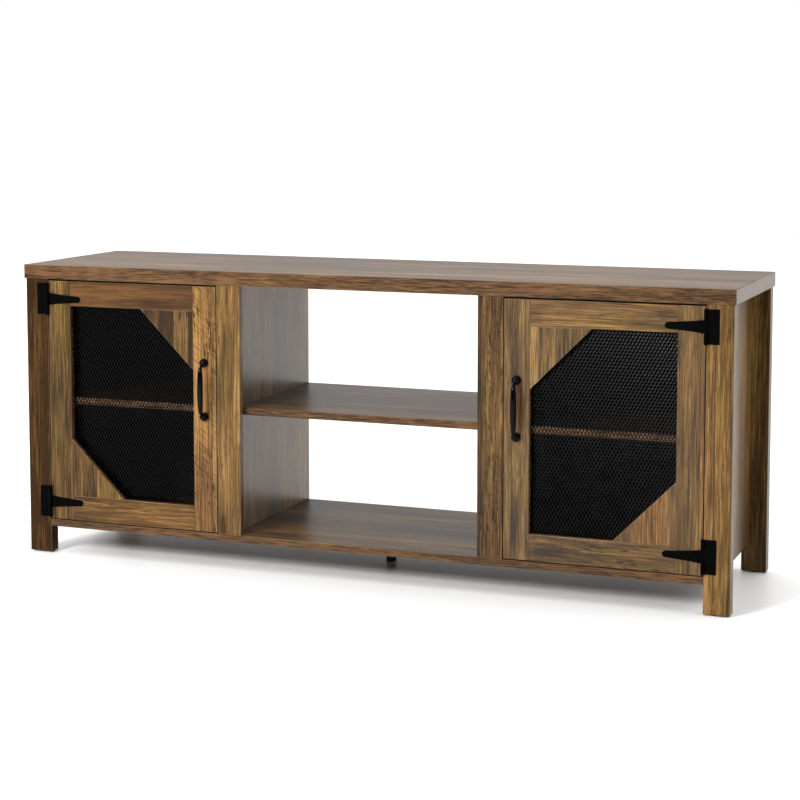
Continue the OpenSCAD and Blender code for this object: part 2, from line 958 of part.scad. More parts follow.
door_lower_gusset(1);  // right_door_lower_gusset
door_mesh(-1);  // left_door_mesh
door_mesh(1);  // right_door_mesh
door_mesh_strips(-1);  // left_door_mesh_strips
door_mesh_strips(1);  // right_door_mesh_strips
hinge_straps(-1);  // left_door_hinge_straps
hinge_straps(1);  // right_door_hinge_straps
door_screws(-1);  // left_door_screws
door_screws(1);  // right_door_screws
door_handle(-1);  // left_door_handle
door_handle(1);  // right_door_handle
door_handle_bolts(-1);  // left_door_handle_bolts
door_handle_bolts(1);  // right_door_handle_bolts
door_strike_plate(-1);  // left_door_strike_plate
door_strike_plate(1);  // right_door_strike_plate
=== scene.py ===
"""Looks of the TV stand with mesh doors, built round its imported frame."""

import json
import math

import bmesh
import bpy
from bpy.props import FloatProperty, FloatVectorProperty, PointerProperty
from bpy.types import Operator, Panel, PropertyGroup
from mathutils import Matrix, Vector

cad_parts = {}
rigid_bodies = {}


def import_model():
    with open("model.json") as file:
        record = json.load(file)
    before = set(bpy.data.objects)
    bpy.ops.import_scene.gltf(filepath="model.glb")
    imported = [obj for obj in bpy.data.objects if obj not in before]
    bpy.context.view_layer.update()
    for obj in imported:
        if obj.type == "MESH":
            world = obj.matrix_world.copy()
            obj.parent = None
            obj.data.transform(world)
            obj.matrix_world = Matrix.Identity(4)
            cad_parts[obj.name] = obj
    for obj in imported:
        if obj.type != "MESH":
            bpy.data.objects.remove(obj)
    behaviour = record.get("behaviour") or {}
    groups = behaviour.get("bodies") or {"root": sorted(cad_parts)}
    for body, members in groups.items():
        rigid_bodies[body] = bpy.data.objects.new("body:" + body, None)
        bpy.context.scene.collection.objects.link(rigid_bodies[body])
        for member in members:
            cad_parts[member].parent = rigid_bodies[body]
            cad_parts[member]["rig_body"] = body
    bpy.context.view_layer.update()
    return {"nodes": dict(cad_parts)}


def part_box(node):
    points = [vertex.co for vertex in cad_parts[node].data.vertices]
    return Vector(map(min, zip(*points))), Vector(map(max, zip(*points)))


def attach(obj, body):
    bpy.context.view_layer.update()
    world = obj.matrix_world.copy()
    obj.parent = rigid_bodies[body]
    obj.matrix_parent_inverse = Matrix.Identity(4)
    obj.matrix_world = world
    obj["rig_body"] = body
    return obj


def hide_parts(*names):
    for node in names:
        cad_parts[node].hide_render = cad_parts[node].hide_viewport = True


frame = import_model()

bl_info = {
    "name": "TV stand with mesh doors",
    "version": (1, 0, 0),
    "blender": (4, 5, 0),
    "location": "3D View > Sidebar > TV stand",
    "description": "Builds the boards, doors, mesh, hinges, handles and fittings of a rustic oak TV stand",
    "category": "Object",
}

MM = 0.001
SIDES = ("left", "right")
ENDS = ("front", "rear")


def colour(name, text, value):
    return FloatVectorProperty(
        name=name, description=text, subtype="COLOR", size=3, min=0.0, max=1.0, default=value
    )


def length(name, text, value):
    return FloatProperty(
        name=name, description=text, unit="LENGTH", subtype="DISTANCE", min=0.0, default=value
    )


class StandSizes(PropertyGroup):
    """Sizes that only the looks have; every other size comes from the frame."""

    board_round: length("Board rounding", "Radius of the rounded edges of the boards", 1.0 * MM)
    metal_round: length("Metal rounding", "Radius of the rounded edges of the hinge metal", 0.5 * MM)
    mesh_across: length("Mesh width", "Short way of one diamond of the mesh", 7.0 * MM)
    mesh_along: length("Mesh height", "Long way of one diamond of the mesh", 12.7 * MM)
    mesh_bond_width: length("Bond width", "Width of the metal where four strands meet", 3.3 * MM)
    mesh_bond_height: length("Bond height", "Height of the metal where four strands meet", 3.6 * MM)
    mesh_metal: length("Mesh metal", "Thickness of the metal of the mesh", 0.8 * MM)
    mesh_tilt: length("Mesh tilt", "How far a strand's two edges lie out of the mesh's plane", 0.5 * MM)
    grip_bow: length("Grip bow", "How far the middle of a handle's grip bows outwards", 0.8 * MM)
    plank: length("Plank width", "Width of one printed plank of the foil", 83.0 * MM)
    gusset_plank: length("Gusset plank width", "Width of one printed plank on the gussets", 33.0 * MM)


class StandColours(PropertyGroup):
    """Colours of the finishes."""

    oak_light: colour("Oak light", "Palest tone of the oak foil", (0.290, 0.160, 0.050))
    oak_mid: colour("Oak middle", "Middle tone of the oak foil", (0.104, 0.054, 0.0155))
    oak_dark: colour("Oak dark", "Darkest streaks of the oak foil", (0.024, 0.0115, 0.0042))
    oak_red: colour("Edge red", "Redder tone of the edge bands", (0.146, 0.070, 0.032))
    # The cabinet shelves' edge band is paler than the others: painted light where it shows through the
    # door mesh
    shelf_edge: colour("Shelf edge", "Paler edge band of the cabinet shelves", (0.400, 0.215, 0.105))
    # The pale line on the oak's edge crests is partly rubbing and partly painted highlight
    oak_rubbed_and_highlit: colour("Oak worn", "Paler line where an edge is rubbed", (0.200, 0.135, 0.080))
    # The hardboard's near-black is partly its own dark face and partly painted shade inside the cabinets
    hardboard: colour("Hardboard", "Dark face of the back panels", (0.020, 0.015, 0.011))
    batten: colour("Batten", "Stained strips behind the mesh", (0.075, 0.042, 0.022))
    iron: colour("Iron", "Black coat of the hinges", (0.0006, 0.0006, 0.0007))
    handle: colour("Handle", "Semi-gloss black of the handles", (0.0007, 0.0007, 0.0008))
    mesh: colour("Mesh", "Black paint of the mesh", (0.0006, 0.0006, 0.0007))
    zinc: colour("Zinc", "Zinc plate of the fittings", (0.60, 0.61, 0.63))
    beech: colour("Beech", "Plain beech of the dowels", (0.60, 0.43, 0.26))
    plastic: colour("Plastic", "Black plastic of the catches and feet", (0.022, 0.022, 0.024))
    floor: colour("Floor", "Pale studio floor", (0.90, 0.90, 0.90))


def sizes():
    return bpy.context.scene.stand_sizes


def colours():
    return bpy.context.scene.stand_colours


# ---- Materials ----


class Graph:
    """A material's node tree. A node's value may be a number, a tuple or another node's socket."""

    def __init__(self, name):
        self.material = bpy.data.materials.new(name)
        self.material.use_nodes = True
        self.tree = self.material.node_tree
        self.shader = self.tree.nodes["Principled BSDF"]

    def put(self, socket, value):
        if isinstance(value, bpy.types.NodeSocket):
            self.tree.links.new(value, socket)
        elif hasattr(socket.default_value, "__len__") and len(socket.default_value) == 4:
            socket.default_value = (*value, 1.0) if len(value) == 3 else value
        else:
            socket.default_value = value

    def add(self, kind, values, out=0, **settings):
        node = self.tree.nodes.new(kind)
        for key, value in settings.items():
            setattr(node, key, value)
        for key, value in values.items():
            self.put(node.inputs[key], value)
        return node.outputs[out]

    def attribute(self, name, out="Vector"):
        return self.add("ShaderNodeAttribute", {}, out=out, attribute_name=name)

    def math(self, operation, a, b=0.0):
        return self.add("ShaderNodeMath", {0: a, 1: b}, operation=operation)

    def total(self, first, *rest):
        """The sum of (value, share) pairs, each value times its share."""
        result = self.math("MULTIPLY", *first)
        for value, share in rest:
            result = self.math("ADD", result, self.math("MULTIPLY", value, share))
        return result

    def from_middle(self, value):
        """How far a value that runs from 0 to 1 is from its middle."""
        return self.math("ABSOLUTE", self.math("SUBTRACT", value, 0.5))

    def object_place(self):
        return self.add("ShaderNodeTexCoord", {}, out="Object")

    def vector(self, operation, a, b):
        return self.add("ShaderNodeVectorMath", {0: a, 1: b}, operation=operation)

    def split(self, vector, part):
        return self.add("ShaderNodeSeparateXYZ", {0: vector}, out=part)

    def join(self, x, y, z):
        return self.add("ShaderNodeCombineXYZ", {0: x, 1: y, 2: z})

    def noise(self, place, scale, detail=2.0, rough=0.5, distortion=0.0, out="Fac"):
        """Noise with scale cells per metre: one number, or one for each axis."""
        if not isinstance(scale, tuple):
            scale = (scale, scale, scale)
        return self.add(
            "ShaderNodeTexNoise",
            {
                "Vector": self.vector("MULTIPLY", place, scale),
                "Scale": 1.0,
                "Detail": detail,
                "Roughness": rough,
                "Distortion": distortion,
            },
            out=out,
        )

    def fibres(self, place, along, across, *settings, **more):
        """Noise drawn out along the grain, which runs along X."""
        return self.noise(place, (along, across, across), *settings, **more)

    def random(self, value):
        return self.add("ShaderNodeTexWhiteNoise", {"W": value}, noise_dimensions="1D")

    def between(self, value, low, high, to_low=0.0, to_high=1.0):
        """A smooth step from to_low at low to to_high at high."""
        return self.add(
            "ShaderNodeMapRange",
            {"Value": value, "From Min": low, "From Max": high, "To Min": to_low, "To Max": to_high},
            interpolation_type="SMOOTHSTEP",
        )

    def mix(self, share, a, b, blend="MIX"):
        node = self.tree.nodes.new("ShaderNodeMix")
        node.data_type = "RGBA"
        node.blend_type = blend
        self.put(node.inputs[0], share)
        self.put(node.inputs[6], a)
        self.put(node.inputs[7], b)
        return node.outputs[2]

    def bump(self, height, depth, strength):
        return self.add(
            "ShaderNodeBump", {"Height": height, "Distance": depth, "Strength": strength}, out="Normal"
        )

    def finish(self, **sockets):
        for key, value in sockets.items():
            self.put(self.shader.inputs[key.replace("_", " ")], value)
        return self.material


# Tints that multiply the oak's colour, and how dark the cracks of an edge band are beside its face
OLIVE_TINT = (0.86, 0.98, 0.72)
ORANGE_TINT = (1.22, 0.90, 0.70)
BAND_CRACK = 0.18
# How far apart in the pattern, in metres, the planks' own grains lie, and what tells hue from tone
PLANK_SPREAD = 4.0
HUE_SEED = 17.3
SAW_SLANT = math.radians(52)


def scaled(tone, factor):
    return tuple(factor * v for v in tone)


def set_ior(made, ior, level=0.5):
    """Index of refraction and specular level sit on the shader's own sockets."""
    shader = made.node_tree.nodes["Principled BSDF"]
    shader.inputs["IOR"].default_value = ior
    shader.inputs["Specular IOR Level"].default_value = level


def oak_planks(g, place):
    """Planks of the print: the tone and hue of each, and the thin dark joint between two."""
    row = g.math("DIVIDE", g.split(place, "Y"), g.attribute("plank_width", "Fac"))
    number = g.math("FLOOR", row)
    tone = g.random(number)
    hue = g.random(g.math("ADD", number, HUE_SEED))
    joint = g.between(g.from_middle(g.math("FRACT", row)), 0.482, 0.494)
    return tone, hue, joint


def oak_knots(g, place):
    """Knots and the darker halo round each: a few cells of a stretched pattern hold one."""
    cells = g.vector("MULTIPLY", place, (4.3, 15.0, 15.0))
    distance, chance = (
        g.add("ShaderNodeTexVoronoi", {"Vector": cells, "Scale": 1.0}, out=out)
        for out in ("Distance", "Color")
    )
    has_knot = g.between(g.split(chance, "X"), 0.64, 0.67)
    halo = g.math("MULTIPLY", g.between(distance, 0.05, 0.36, 1.0, 0.0), has_knot)
    knot = g.math("MULTIPLY", g.between(distance, 0.06, 0.14, 1.0, 0.0), has_knot)
    return halo, knot


def oak_veins(g, place, fine):
    """Thin dark veins where two slow fields cross their middle, broken along the grain."""
    bold = g.from_middle(g.fibres(place, 1.9, 36.0, 4.0, 0.6))
    slight = g.from_middle(g.fibres(place, 4.0, 105.0, 3.0, 0.6))
    bold = g.between(bold, 0.0, 0.016, 0.95, 0.0)
    slight = g.between(slight, 0.0, 0.020, 0.6, 0.0)
    return g.math("MULTIPLY", g.math("MAXIMUM", bold, slight), g.between(fine, 0.35, 0.6, 0.35, 1.0))


def oak_flecks(g, place, marks):
    """Flecks in loose clusters, more of them where the board has saw marks."""
    fleck = g.between(g.fibres(place, 38.0, 230.0, 2.0, 0.6), 0.55, 0.64)
    cluster = g.between(g.fibres(place, 7.0, 34.0), 0.50, 0.60)
    return g.math("MULTIPLY", fleck, g.math("MULTIPLY", cluster, g.math("ADD", 0.35, marks)))


def oak_saw_marks(g, place, marks):
    """Fine dark lines slanting across the grain in loose groups."""
    turned = g.add(
        "ShaderNodeVectorRotate", {"Vector": place, "Angle": SAW_SLANT}, rotation_type="Z_AXIS"
    )
    line = g.between(g.noise(turned, (26.0, 230.0, 60.0)), 0.53, 0.62)
    group = g.between(g.fibres(place, 6.0, 20.0), 0.44, 0.58)
    return g.math("MULTIPLY", g.math("MULTIPLY", line, group), marks)


def oak_foil(name, ior, gloss=0.24, edge=None, edge_share=0.6):
    """Printed rustic oak: planks, streaks, flecks, knots, saw marks, pores, and a pale line on edge crests
    that is partly rubbing and partly painted highlight.

    The attribute grain holds the place in metres with X along the grain, board holds the board's
    brightness (its own tone, and painted shade or sheen on some boards), warmth and saw marks, and wear is
    1 on the crest of a rounded edge. With an edge colour it is the edge band instead, which lets 1 -
    edge_share of the print through."""
    c = colours()
    g = Graph(name)
    place = g.attribute("grain")
    board = g.attribute("board")
    # brightness holds each board's own tone, and on some boards painted shade or sheen
    brightness, warmth, marks = (g.split(board, part) for part in "XYZ")

    # Each plank has a grain of its own, which wanders a little from side to side
    plank, hue, joint = oak_planks(g, place)
    own = g.join(g.math("MULTIPLY", plank, PLANK_SPREAD), 0.0, g.math("MULTIPLY", hue, PLANK_SPREAD))
    place = g.vector("ADD", place, own)
    sway = g.vector("SUBTRACT", g.fibres(place, 3.1, 9.0, 2.0, out="Color"), (0.5, 0.5, 0.5))
    place = g.vector("ADD", place, g.vector("MULTIPLY", sway, (0.0, 0.014, 0.014)))

    # Streaks from broad to fine
    cloud = g.fibres(place, 2.4, 17.0, 3.0, 0.6)
    broad = g.fibres(place, 3.0, 42.0, 4.0, 0.6)
    streak = g.fibres(place, 6.5, 250.0, 5.0, 0.66)
    fine = g.fibres(place, 15.0, 560.0, 3.0, 0.7)

    # Marks on them, and weathered patches
    halo, knot = oak_knots(g, place)
    veins = oak_veins(g, place, fine)
    stain = g.between(g.fibres(place, 4.4, 60.0, 4.0, 0.66, 0.5), 0.56, 0.72)
    fleck = oak_flecks(g, place, marks)
    saw = oak_saw_marks(g, place, marks)
    pore = g.between(g.fibres(place, 70.0, 1200.0, 1.0), 0.58, 0.72)
    patch = g.between(g.fibres(place, 5.0, 22.0, 4.0, 0.62), 0.42, 0.62)

    # Lightness, from the dark streaks through the middle tone to the pale ones
    light = g.total(
        (cloud, 1.05),
        (broad, 0.85),
        (streak, 1.40),
        (fine, 1.40),
        (plank, 0.36),
        (brightness, 0.50),
        (halo, -0.30),
    )
    light = g.add("ShaderNodeMapRange", {"Value": light, "From Min": 2.05, "From Max": 3.01}, clamp=True)
    wood = g.mix(g.between(light, 0.0, 0.5), c.oak_dark, c.oak_mid)
    wood = g.mix(g.between(light, 0.42, 1.0), wood, c.oak_light)

    # Hue: weathered patches turn olive and warm planks turn orange
    olive = g.between(g.total((patch, 0.75), (warmth, -0.6)), 0.0, 1.0, 0.0, 0.85)
    wood = g.mix(olive, wood, OLIVE_TINT, "MULTIPLY")
    orange = g.between(g.total((hue, 0.45), (warmth, 0.65)), 0.1, 1.0, 0.0, 0.8)
    wood = g.mix(orange, wood, ORANGE_TINT, "MULTIPLY")

    # Every mark darkens the print by its own share
    dark_marks = (
        (veins, 0.46),
        (stain, 0.55),
        (saw, 0.40),
        (fleck, 0.85),
        (knot, 0.80),
        (pore, 0.35),
        (joint, 0.70),
    )
    for mark, share in dark_marks:
        wood = g.mix(g.math("MULTIPLY", mark, share), wood, c.oak_dark)

    if edge:
        crack = g.fibres(place, 26.0, 430.0, 3.0, 0.65)
        shade = g.between(g.math("ADD", crack, g.math("MULTIPLY", broad, 0.35)), 0.57, 0.77)
        wood = g.mix(edge_share, wood, g.mix(shade, scaled(edge, BAND_CRACK), tuple(edge)))

    # Edge crests show a paler line, broken where the print survives: partly rubbing, partly painted
    # highlight
    rub_and_highlight = g.math("MULTIPLY", g.attribute("wear", "Fac"), g.between(broad, 0.35, 0.6, 0.25, 0.8))
    wood = g.mix(rub_and_highlight, wood, c.oak_rubbed_and_highlit)

    rough = g.math("ADD", gloss, g.math("MULTIPLY", streak, 0.12))
    rough = g.math("ADD", rough, g.math("MULTIPLY", pore, 0.08))
    relief = g.total((streak, 0.7), (fine, 0.5), (pore, -0.4), (saw, -0.4))
    made = g.finish(Base_Color=wood, Roughness=rough, Normal=g.bump(relief, 0.1 * MM, 0.5))
    set_ior(made, ior)
    return made


def hardboard_face(name):
    """Thin back panel: a dark sealed face with felted fibres, its near-black partly the board's own and
    partly painted shade inside the cabinets.
    """
    g = Graph(name)
    place = g.attribute("grain")
    felt = g.noise(place, 420.0, 4.0, 0.7)
    cloud = g.noise(place, 7.0, 3.0)
    tint = g.mix(g.between(felt, 0.3, 0.7), colours().hardboard, (0.034, 0.026, 0.019))
    tint = g.mix(g.math("MULTIPLY", cloud, 0.4), tint, (0.012, 0.009, 0.007))
    rough = g.between(cloud, 0.3, 0.7, 0.62, 0.78)
    made = g.finish(Base_Color=tint, Roughness=rough, Normal=g.bump(felt, 0.08 * MM, 0.5))
    set_ior(made, 1.4)
    return made


def stained_wood(name, base, dark):
    """Plain softwood or beech with straight fibres."""
    g = Graph(name)
    place = g.attribute("grain")
    fibre = g.fibres(place, 20.0, 700.0, 3.0, 0.6)
    band = g.fibres(place, 4.0, 90.0)
    tint = g.mix(g.between(g.math("ADD", fibre, band), 0.7, 1.3), dark, base)
    rough = g.between(fibre, 0.3, 0.7, 0.5, 0.68)
    return g.finish(Base_Color=tint, Roughness=rough, Normal=g.bump(fibre, 0.1 * MM, 0.6))


def painted_iron(name, base, gloss, level, grain, depth):
    """Black coat on metal: a fine orange peel, small dust marks and rubbed edges.

    grain is the cells per metre of the orange peel and depth its height."""
    g = Graph(name)
    place = g.object_place()
    peel = g.noise(place, grain, 3.0, 0.6)
    cloud = g.noise(place, 45.0, 3.0)
    speck = g.between(g.noise(place, 900.0, 1.0), 0.70, 0.80)
    tint = g.mix(g.between(cloud, 0.35, 0.7), base, scaled(base, 1.8))
    tint = g.mix(g.math("MULTIPLY", speck, 0.2), tint, (0.012, 0.012, 0.0125))
    tint = g.mix(g.math("MULTIPLY", g.attribute("wear", "Fac"), 0.5), tint, (0.012, 0.0115, 0.011))
    rough = g.between(cloud, 0.3, 0.7, gloss - 0.05, gloss + 0.08)
    made = g.finish(Base_Color=tint, Roughness=rough, Normal=g.bump(peel, depth, 0.5))
    set_ior(made, 1.5, level)
    return made


def zinc_plate(name):
    """Bright zinc with a faint spangle and turned marks."""
    g = Graph(name)
    place = g.object_place()
    spangle = g.noise(place, 260.0)
    line = g.noise(place, (90.0, 90.0, 2600.0))
    tint = g.mix(g.between(spangle, 0.3, 0.7), colours().zinc, (0.46, 0.46, 0.45))
    rough = g.between(g.math("ADD", spangle, line), 0.7, 1.3, 0.24, 0.42)
    return g.finish(Base_Color=tint, Metallic=1.0, Roughness=rough, Normal=g.bump(line, 0.03 * MM, 0.4))


def moulded_plastic(name):
    """Matte plastic with a fine mould texture."""
    g = Graph(name)
    place = g.object_place()
    skin = g.noise(place, 1500.0)
    cloud = g.noise(place, 60.0)
    tint = g.mix(g.between(cloud, 0.3, 0.7), colours().plastic, (0.036, 0.036, 0.038))
    rough = g.between(cloud, 0.3, 0.7, 0.45, 0.6)
    return g.finish(Base_Color=tint, Roughness=rough, Normal=g.bump(skin, 0.04 * MM, 0.5))


def floor_finish(name):
    """Pale floor with a very faint mottle."""
    g = Graph(name)
    mottle = g.noise(g.object_place(), 3.0, 3.0)
    pale = colours().floor
    tint = g.mix(g.between(mottle, 0.3, 0.7), pale, scaled(pale, 0.985))
    return g.finish(Base_Color=tint, Roughness=g.between(mottle, 0.3, 0.7, 0.38, 0.42))


# Each key names a finish, and the pieces that take it ask for it by that key
MATERIAL_MAKERS = {
    "oak_laminate": lambda: oak_foil("oak_foil", 1.24),
    # A less reflective copy of the oak for the front left post: painted shade
    "oak_shaded": lambda: oak_foil("oak_foil_shaded", 1.13),
    "oak_satin": lambda: oak_foil("oak_foil_satin", 1.34),
    "oak_flat": lambda: oak_foil("oak_foil_flat_boards", 1.20, gloss=0.29),
    "oak_panel": lambda: oak_foil("oak_foil_panels", 1.60),
    "oak_edge": lambda: oak_foil("oak_edge_band", 1.24, edge=colours().oak_red),
    "oak_end": lambda: oak_foil("oak_end_band", 1.75, gloss=0.30, edge=colours().oak_red),
    # Paler edge band letting little print through: painted light on the cabinet shelves' front edges
    "oak_shelf_edge": lambda: oak_foil(
        "oak_lit_shelf_edge_band", 1.24, edge=colours().shelf_edge, edge_share=0.95
    ),
    "hardboard": lambda: hardboard_face("hardboard"),
    "batten": lambda: stained_wood("stained_batten", colours().batten, (0.03, 0.017, 0.009)),
    "beech": lambda: stained_wood("beech", colours().beech, (0.42, 0.27, 0.14)),
    "mesh": lambda: painted_iron("mesh_black", colours().mesh, 0.24, 0.08, 1800.0, 0.02 * MM),
    "black_iron": lambda: painted_iron("hinge_black", colours().iron, 0.42, 0.02, 1400.0, 0.05 * MM),
    "handle_black": lambda: painted_iron("handle_black", colours().handle, 0.10, 0.08, 500.0, 0.006 * MM),
    "zinc": lambda: zinc_plate("zinc_plate"),
    "black_plastic": lambda: moulded_plastic("black_plastic"),
}


def material(key):
    """The finish of that name, made once."""
    made = bpy.context.scene.get("stand_materials", {})
    if key in made:
        return bpy.data.materials[made[key]]
    new = MATERIAL_MAKERS[key]()
    names = dict(made)
    names[key] = new.name
    bpy.context.scene["stand_materials"] = names
    return new


# ---- Meshes ----


def body_of(node):
    return frame["nodes"][node]["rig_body"]


def new_piece(name, bm, node, materials):
    """Puts a finished mesh in the scene in place of a CAD node, on the node's body."""
    mesh = bpy.data.meshes.new(name)
    bm.to_mesh(mesh)
    bm.free()
    for key in materials:
        mesh.materials.append(material(key))
    piece = bpy.data.objects.new(name, mesh)
    bpy.context.scene.collection.objects.link(piece)
    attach(piece, body_of(node))
    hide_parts(node)
    return piece


def write_point_values(mesh, name, kind, values):
    """Adds one attribute and fills it before the next is added."""
    layer = mesh.attributes.new(name, kind, "POINT")
    field = "value" if kind == "FLOAT" else "vector"
    layer.data.foreach_set(field, values)


def write_edge_crest(mesh, crest):
    """wear is 1 at the vertices named in crest and 0 elsewhere; on the oak it carries a pale line that is
    partly rubbing and partly painted highlight.
    """
    chosen = set(crest)
    values = [1.0 if k in chosen else 0.0 for k in range(len(mesh.vertices))]
    write_point_values(mesh, "wear", "FLOAT", values)


def write_grain(mesh, axis, shift, tone, plank_width):
    """grain is the place with X along the grain, moved by the board's own shift."""
    order = {"x": (0, 1, 2), "y": (1, 0, 2), "z": (2, 0, 1)}[axis]
    count = len(mesh.vertices)
    places = [v.co[k] + shift[n] for v in mesh.vertices for n, k in enumerate(order)]
    write_point_values(mesh, "grain", "FLOAT_VECTOR", places)
    write_point_values(mesh, "board", "FLOAT_VECTOR", list(tone) * count)
    write_point_values(mesh, "plank_width", "FLOAT", [plank_width] * count)


# Points closer than this are one point, and faces that bend less than this are one face
SAME_POINT = 0.001 * MM
FLAT_WITHIN = math.radians(0.4)
# Edges sharper than this are rounded, and slanting faces smaller than this belong to a curve
SHARP_FROM = math.radians(30)
SMALL_FACE = 60 * MM**2
ROUNDING_SEGMENTS = 2
# How much of an axis a face's normal has when the face is square to it, and when it looks that way
ALIGNED = 0.9999
FACING = 0.99


def cleaned(node):
    """The CAD node's own solid as a mesh with whole faces."""
    bm = bmesh.new()
    bm.from_mesh(frame["nodes"][node].data)
    bmesh.ops.remove_doubles(bm, verts=bm.verts, dist=SAME_POINT)
    bmesh.ops.dissolve_limit(bm, angle_limit=FLAT_WITHIN, verts=bm.verts, edges=bm.edges)
    return bm


def rounded(bm, radius, shortest):
    """Rounds the sharp edges longer than shortest and returns the vertices on the crest of each."""
    sharp = [
        e
        for e in bm.edges
        if len(e.link_faces) == 2 and e.calc_face_angle(0.0) > SHARP_FROM and e.calc_length() > shortest
    ]
    corners = list({v for e in sharp for v in e.verts})
    made = bmesh.ops.bevel(
        bm,
        geom=sharp + corners,
        offset=radius,
        offset_type="OFFSET",
        segments=ROUNDING_SEGMENTS,
        profile=0.5,
        affect="EDGES",
        clamp_overlap=True,
    )
    strips = set(made["faces"])
    for face in bm.faces:
        slanting = max(abs(v) for v in face.normal) <= ALIGNED
        face.smooth = face in strips or (slanting and face.calc_area() < SMALL_FACE)
    bm.verts.index_update()
    return [v.index for v in bm.verts if v.link_faces and all(f in strips for f in v.link_faces)]


# From one board's place in the print to the next, in metres
BOARD_STEP = (2.371, 0.613, 0.437)
FIRST_ACROSS = 0.021


def board_shift(number):
    """A place in the print for each board, so that no two boards match."""
    along, across, through = BOARD_STEP
    return Vector((number * along, number * across + FIRST_ACROSS, number * through))


# Board edges shorter than this, such as those of bored holes, keep their CAD shape
SHORTEST_ROUNDED = 9 * MM
# Where in its pattern a fitting's finish starts
FITTING_SHIFT = Vector((0.3, 0.1, 0.2))
# Faces round a turned shape and round a rod, and the radius below which a profile is on its axis
LATHE_SIDES = 40
ROD_SIDES = 32
ON_AXIS = 0.0001 * MM

# Brightness, warmth and saw marks of the boards that differ from the plain foil; on some boards the
# brightness is painted shade or sheen, as marked below
BOARD_TONES_AND_SHADES = {
    # Darker top, bottom panel and bay shelf: painted shade that holds back the strong light from above
    "top_panel": (-0.40, 0.10, 0.05),
    "bottom_panel": (-0.45, 0.05, 0.05),
    "centre_shelf": (-0.55, 0.15, 0.05),
    # Much darker cabinet shelves: painted shade inside the closed cabinets
    "left_cabinet_shelf": (-1.00, 0.00, 0.05),
    "right_cabinet_shelf": (-1.00, 0.00, 0.05),
    # Lighter left divider: painted sheen on its face in the bay
    "left_divider": (0.45, 0.15, 0.05),
    # Much darker left side panel: painted shade inside the left cabinet
    "left_side_panel": (-1.30, 0.00, 0.05),
    # Darker front left post: painted shade
    "front_left_post": (-1.20, 0.30, 0.10),
    "front_right_post": (0.01, -0.15, 0.3),
    "left_divider_stile": (0.30, 0.05, 0.2),
    "right_divider_stile": (-0.37, -0.05, 1.0),
    "left_door_hinge_stile": (0.00, -0.30, 0.3),
    "left_door_latch_stile": (0.67, 0.15, 1.4),
    "left_door_top_rail": (0.52, 0.55, 0.1),
    "left_door_bottom_rail": (-0.57, 0.05, 0.3),
    "left_door_upper_gusset": (-0.76, 0.15, 0.9),
    "left_door_lower_gusset": (-0.08, -0.05, 0.1),
    "right_door_hinge_stile": (0.03, 0.25, 0.1),
    "right_door_latch_stile": (-0.20, -0.20, 0.2),
    "right_door_top_rail": (-0.07, -0.10, 0.3),
    "right_door_bottom_rail": (0.30, -0.10, 0.9),
    "right_door_upper_gusset": (-0.12, -0.15, 0.1),
    "right_door_lower_gusset": (-0.15, 0.30, 0.1),
}
PLAIN_TONE = (0.0, 0.0, 0.15)
# Each board's number, given in the order of building
BOARD_NUMBERS = {}


def make_board(
    node, axis, foil="oak_laminate", edge_faces=None, band="oak_edge", ends=None, plank_width=None
):
    """A foil-covered board. edge_faces tells which face normals carry the edge band, and ends names
    the band of the left and right ends where it is another one."""
    bm = cleaned(node)
    crest = rounded(bm, sizes().board_round, SHORTEST_ROUNDED)
    keys = [foil]
    if edge_faces:
        keys.append(band)
        for face in bm.faces:
            if edge_faces(face.normal):
                face.material_index = 1
    if ends:
        keys.append(ends)
        for face in bm.faces:
            if abs(face.normal.x) > FACING:
                face.material_index = len(keys) - 1
    piece = new_piece(node + "_board", bm, node, keys)
    number = BOARD_NUMBERS.setdefault(node, len(BOARD_NUMBERS) + 1)
    tone = BOARD_TONES_AND_SHADES.get(node, PLAIN_TONE)
    write_grain(piece.data, axis, board_shift(number), tone, plank_width or sizes().plank)
    write_edge_crest(piece.data, crest)


def make_refined(node, slot, radius, shortest, axis="x"):
    """A fitting with its CAD shape, rounded edges and its own finish."""
    bm = cleaned(node)
    crest = rounded(bm, radius, shortest)
    piece = new_piece(node + "_piece", bm, node, [slot])
    write_grain(piece.data, axis, FITTING_SHIFT, (0.0, 0.0, 0.0), sizes().plank)
    write_edge_crest(piece.data, crest)


def lathe(bm, profile, origin, axis):
    """Turns a profile of (radius, height) pairs about a line; both ends lie on the line."""
    placed = axis.to_track_quat("Z", "Y").to_matrix().to_4x4()
    placed.translation = origin
    rings = []
    for radius, height in profile:
        if radius < ON_AXIS:
            rings.append([bm.verts.new(placed @ Vector((0, 0, height)))])
            continue
        ring = []
        for k in range(LATHE_SIDES):
            a = 2 * math.pi * k / LATHE_SIDES
            point = Vector((radius * math.cos(a), radius * math.sin(a), height))
            ring.append(bm.verts.new(placed @ point))
        rings.append(ring)
    for low, high in zip(rings, rings[1:]):
        for k in range(LATHE_SIDES):
            j = (k + 1) % LATHE_SIDES
            if len(low) == 1:
                corners = (low[0], high[j], high[k])
            elif len(high) == 1:
                corners = (low[k], low[j], high[0])
            else:
                corners = (low[k], low[j], high[j], high[k])
            bm.faces.new(corners).smooth = True


def arc(centre_r, centre_h, radius, start, stop, steps):
    """Points of a profile on a round, from angle start to stop in degrees; 0 points outwards."""
    points = []
    for k in range(steps + 1):
        a = math.radians(start + (stop - start) * k / steps)
        points.append((centre_r + radius * math.cos(a), centre_h + radius * math.sin(a)))
    return points


def close_normals(bm):
    """Turns every face of a closed shape outwards."""
    bmesh.ops.recalc_face_normals(bm, faces=bm.faces)


# ---- Doors' mesh and handles ----


# Height of a bond's straight sides as a share of half the bond
BOND_SHOULDER = 0.44


